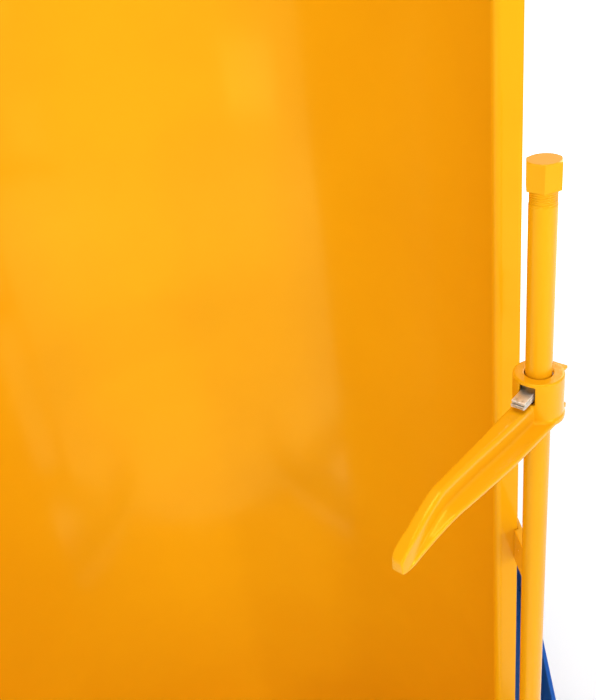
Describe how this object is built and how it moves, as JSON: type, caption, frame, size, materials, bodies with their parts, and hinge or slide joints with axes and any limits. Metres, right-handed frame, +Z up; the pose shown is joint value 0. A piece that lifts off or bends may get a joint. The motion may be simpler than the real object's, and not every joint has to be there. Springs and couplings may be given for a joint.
{
  "type": "drum tipper",
  "caption": "Floor-standing hydraulic drum tipper: a curved chute cradles an upright drum, a sliding clamp holds its rim, and cylinders tip both rearwards to pour.",
  "frame": {"origin": "centre of the footprint at floor level, below the soles of the feet", "axes": "+Z up, +Y from the open front of the chute to the rear where it pours, +X to the operator's right when facing the chute"},
  "size_m": [0.824, 1.2, 1.5],
  "materials": {
    "yellow_paint": "gloss safety-yellow enamel on sheet steel and on the clamp's casting",
    "blue_paint": "semi-gloss blue enamel on structural steel",
    "black_paint": "satin black enamel",
    "zinc_plate": "yellow-tinted zinc plate",
    "bright_steel": "bright drawn steel, lightly oiled",
    "chromed_rod": "hard chrome",
    "bronze": "plain bearing bronze",
    "black_rubber": "matte black rubber",
    "black_plastic": "matte moulded plastic",
    "cast_aluminium": "machined and cast aluminium",
    "green_plastic": "moulded button",
    "red_plastic": "moulded button"
  },
  "bodies": {
    "frame": {"rail_left": "blue_paint", "rail_right": "blue_paint", "upright_left": "blue_paint", "upright_right": "blue_paint", "brace_left": "blue_paint", "brace_right": "blue_paint", "cross_tube_front": "blue_paint", "cross_tube_rear": "blue_paint", "foot_front_left": "blue_paint", "foot_front_right": "blue_paint", "foot_rear_left": "blue_paint", "foot_rear_right": "blue_paint", "bearing_block_left": "blue_paint", "bearing_block_right": "blue_paint", "bearing_bush_left": "bronze", "bearing_bush_right": "bronze", "stop_bumper_left": "black_rubber", "stop_bumper_right": "black_rubber", "base_clevis_left": "blue_paint", "base_clevis_right": "blue_paint", "base_pin_left": "zinc_plate", "base_pin_right": "zinc_plate", "power_base": "blue_paint", "reservoir": "blue_paint", "filler_cap": "black_plastic", "motor": "blue_paint", "fan_cover": "black_plastic", "pump_block": "cast_aluminium", "hose_left": "black_rubber", "hose_right": "black_rubber", "control_box": "black_plastic"},
    "chute": {"chute_shell": "yellow_paint", "chute_floor_plate": "yellow_paint", "band_lower": "yellow_paint", "band_middle": "yellow_paint", "band_upper": "yellow_paint", "tip_arm_left": "yellow_paint", "tip_arm_right": "yellow_paint", "pivot_shaft": "bright_steel", "clamp_bracket_upper": "yellow_paint", "clamp_bracket_lower": "yellow_paint"},
    "post": {"clamp_post": "yellow_paint", "post_nut": "yellow_paint"},
    "clamp": {"clamp_arm": "yellow_paint"},
    "plates": {"clutch_plate_1": "zinc_plate", "clutch_plate_2": "zinc_plate", "clutch_plate_3": "zinc_plate", "clutch_plate_4": "zinc_plate"},
    "barrel_left": {"cylinder_barrel_left": "black_paint", "cylinder_gland_left": "black_paint"},
    "barrel_right": {"cylinder_barrel_right": "black_paint", "cylinder_gland_right": "black_paint"},
    "rod_left": {"cylinder_rod_left": "chromed_rod", "rod_pin_left": "zinc_plate"},
    "rod_right": {"cylinder_rod_right": "chromed_rod", "rod_pin_right": "zinc_plate"},
    "button_up": {"button_up": "green_plastic"},
    "button_down": {"button_down": "red_plastic"}
  },
  "joints": [
    {"name": "chute_tip", "type": "hinge", "parent": "frame", "child": "chute", "pos_m": [0, 0.28, 1.135], "axis": [-1, 0, 0], "range_deg": [0, 135]},
    {"name": "clamp_swing", "type": "hinge", "parent": "chute", "child": "post", "pos_m": [0.32, -0.196, 0.9], "axis": [0, 0, 1], "range_deg": [-25, 115]},
    {"name": "clamp_slide", "type": "slide", "parent": "post", "child": "clamp", "axis": [0, 0, 1], "range_m": [-0.145, 0.15]},
    {"name": "plate_release", "type": "hinge", "parent": "clamp", "child": "plates", "pos_m": [0.33504, -0.18134, 0.9605], "axis": [-0.698, 0.716, 0], "range_deg": [0, 7], "stiffness_Nm_per_rad": 0.4, "springref_deg": -8.59},
    {"name": "barrel_swing_left", "type": "hinge", "parent": "frame", "child": "barrel_left", "pos_m": [-0.3, 0.36, 0.11], "axis": [-1, 0, 0], "range_deg": [0, 6.71]},
    {"name": "rod_slide_left", "type": "slide", "parent": "barrel_left", "child": "rod_left", "axis": [0, -0.2577, 0.9662], "range_m": [0, 0.5423]},
    {"name": "barrel_swing_right", "type": "hinge", "parent": "frame", "child": "barrel_right", "pos_m": [0.3, 0.36, 0.11], "axis": [-1, 0, 0], "range_deg": [0, 6.71]},
    {"name": "rod_slide_right", "type": "slide", "parent": "barrel_right", "child": "rod_right", "axis": [0, -0.2577, 0.9662], "range_m": [0, 0.5423]},
    {"name": "button_up_press", "type": "slide", "parent": "frame", "child": "button_up", "axis": [1, 0, 0], "range_m": [0, 0.005], "stiffness_N_per_m": 400, "springref_m": -0.002},
    {"name": "button_down_press", "type": "slide", "parent": "frame", "child": "button_down", "axis": [1, 0, 0], "range_m": [0, 0.005], "stiffness_N_per_m": 400, "springref_m": -0.002}
  ],
  "couplings": [
    {"joint": "barrel_swing_left", "follows": "chute_tip", "ratio": 0.049337},
    {"joint": "rod_slide_left", "follows": "chute_tip", "m_per_rad": 0.22995},
    {"joint": "barrel_swing_right", "follows": "chute_tip", "ratio": 0.049337},
    {"joint": "rod_slide_right", "follows": "chute_tip", "m_per_rad": 0.22995}
  ]
}
